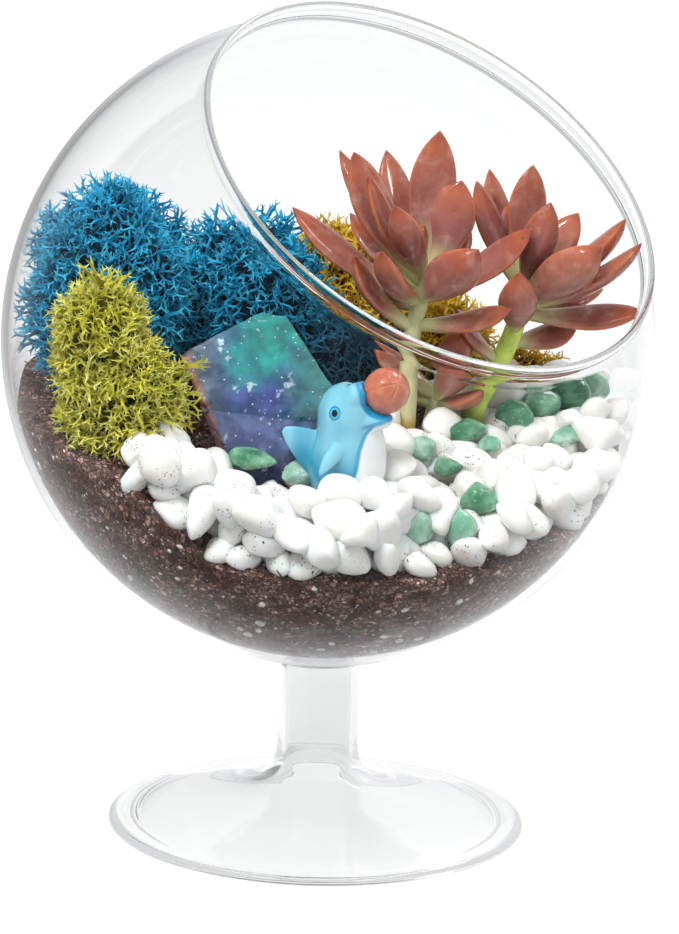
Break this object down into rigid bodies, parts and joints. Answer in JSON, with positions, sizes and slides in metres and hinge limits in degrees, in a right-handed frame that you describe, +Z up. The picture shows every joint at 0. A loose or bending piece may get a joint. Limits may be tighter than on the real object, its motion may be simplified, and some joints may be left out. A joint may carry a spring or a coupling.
{
  "type": "glass globe terrarium",
  "caption": "Blown-glass globe on a stem and round foot, its mouth cut at a slant, planted with succulents, dyed moss, pebbles, a crystal and a small dolphin figurine.",
  "frame": {"origin": "middle of the foot's underside, on the surface it stands on", "axes": "+Z up along the stem, +X to the right and -Y to the front, the mouth turned between them"},
  "size_m": [0.1514, 0.1514, 0.1945],
  "materials": {
    "glass": "gloss",
    "soil": "matte",
    "white_pebble": "satin",
    "green_stone": "polished",
    "crystal": "polished",
    "figurine_blue": "gloss",
    "ball_coral": "gloss",
    "blue_moss": "matte",
    "green_moss": "matte",
    "gold_moss": "matte",
    "leaf": "satin"
  },
  "bodies": {
    "root": {"glass_vessel": "glass", "soil": "soil", "white_pebbles": "white_pebble", "green_stone_01": "green_stone", "green_stone_02": "green_stone", "green_stone_03": "green_stone", "green_stone_04": "green_stone", "green_stone_05": "green_stone", "green_stone_06": "green_stone", "green_stone_07": "green_stone", "green_stone_08": "green_stone", "green_stone_09": "green_stone", "green_stone_10": "green_stone", "green_stone_11": "green_stone", "green_stone_12": "green_stone", "green_stone_13": "green_stone", "green_stone_14": "green_stone", "crystal": "crystal", "dolphin": "figurine_blue", "dolphin_ball": "ball_coral", "moss_green": "green_moss", "moss_blue_left": "blue_moss", "moss_blue_middle": "blue_moss", "moss_gold_back": "gold_moss", "moss_gold_right": "gold_moss", "succulent_front": "leaf", "succulent_right": "leaf", "succulent_low": "leaf"}
  },
  "joints": []
}
